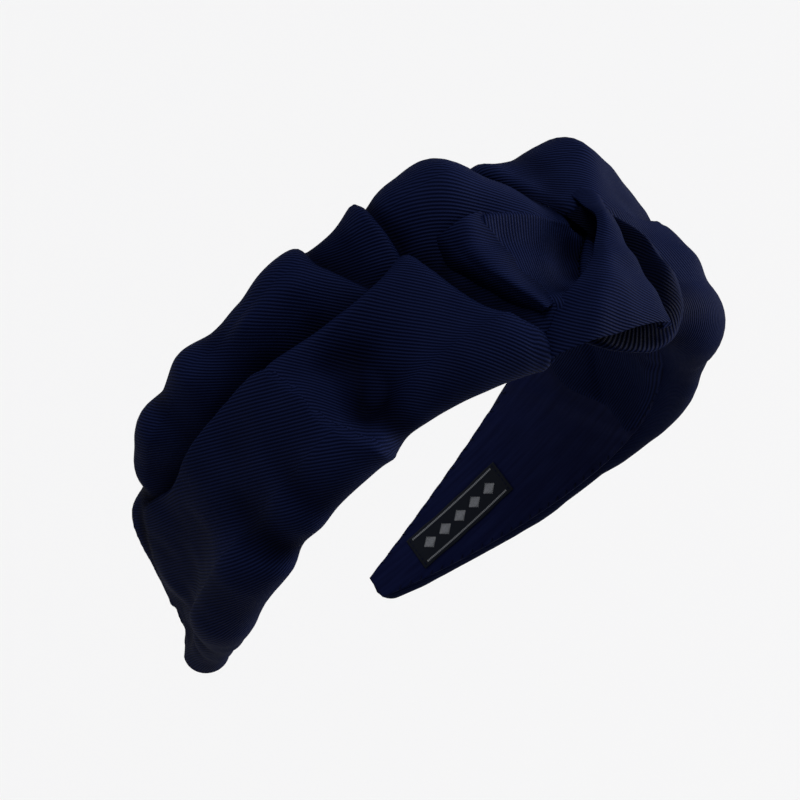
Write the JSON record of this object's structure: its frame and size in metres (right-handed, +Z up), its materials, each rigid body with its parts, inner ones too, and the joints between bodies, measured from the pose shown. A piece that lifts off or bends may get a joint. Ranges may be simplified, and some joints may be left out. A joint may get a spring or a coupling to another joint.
{
  "type": "knotted headband",
  "caption": "Hoop headband with a padded plastic core, a satin lining, and ruched cloth that is knotted over the crown.",
  "frame": {"origin": "on the lining's inner face at the top of the hoop, in the middle of its width, where the band sits on the head", "axes": "+Z up, away from the head; +X to one ear, with the left arm at -X and the right arm at +X; +Y across the band, to the back of the head"},
  "size_m": [0.1625, 0.0632, 0.1764],
  "materials": {
    "cloth": "matt navy twill",
    "lining": "navy satin ribbon",
    "hoop": "black moulded plastic",
    "foam": "grey sponge",
    "tape": "double-sided tape",
    "label": "woven damask",
    "thread": "spun polyester thread"
  },
  "bodies": {
    "crown": {"lining_crown": "lining", "lining_tape_crown": "tape", "hoop_crown": "hoop", "foam_crown": "foam", "hem_stitches_crown": "thread", "left_cloth_crown": "cloth", "knot_loop": "cloth", "right_cloth_crown": "cloth"},
    "left_arm": {"lining_left_arm": "lining", "lining_tape_left_arm": "tape", "hoop_left_arm": "hoop", "foam_left_arm": "foam", "hem_stitches_left_arm": "thread", "left_cloth_left_arm": "cloth"},
    "right_arm": {"lining_right_arm": "lining", "lining_tape_right_arm": "tape", "hoop_right_arm": "hoop", "foam_right_arm": "foam", "hem_stitches_right_arm": "thread", "right_cloth_right_arm": "cloth", "label": "label", "label_stitches": "thread"}
  },
  "joints": [
    {"name": "left_arm_flex", "type": "hinge", "parent": "crown", "child": "left_arm", "pos_m": [-0.04582, 0, -0.01718], "axis": [0, 1, 0], "range_deg": [-4, 18], "stiffness_Nm_per_rad": 1},
    {"name": "right_arm_flex", "type": "hinge", "parent": "crown", "child": "right_arm", "pos_m": [0.04582, 0, -0.01718], "axis": [0, -1, 0], "range_deg": [-4, 18], "stiffness_Nm_per_rad": 1}
  ]
}
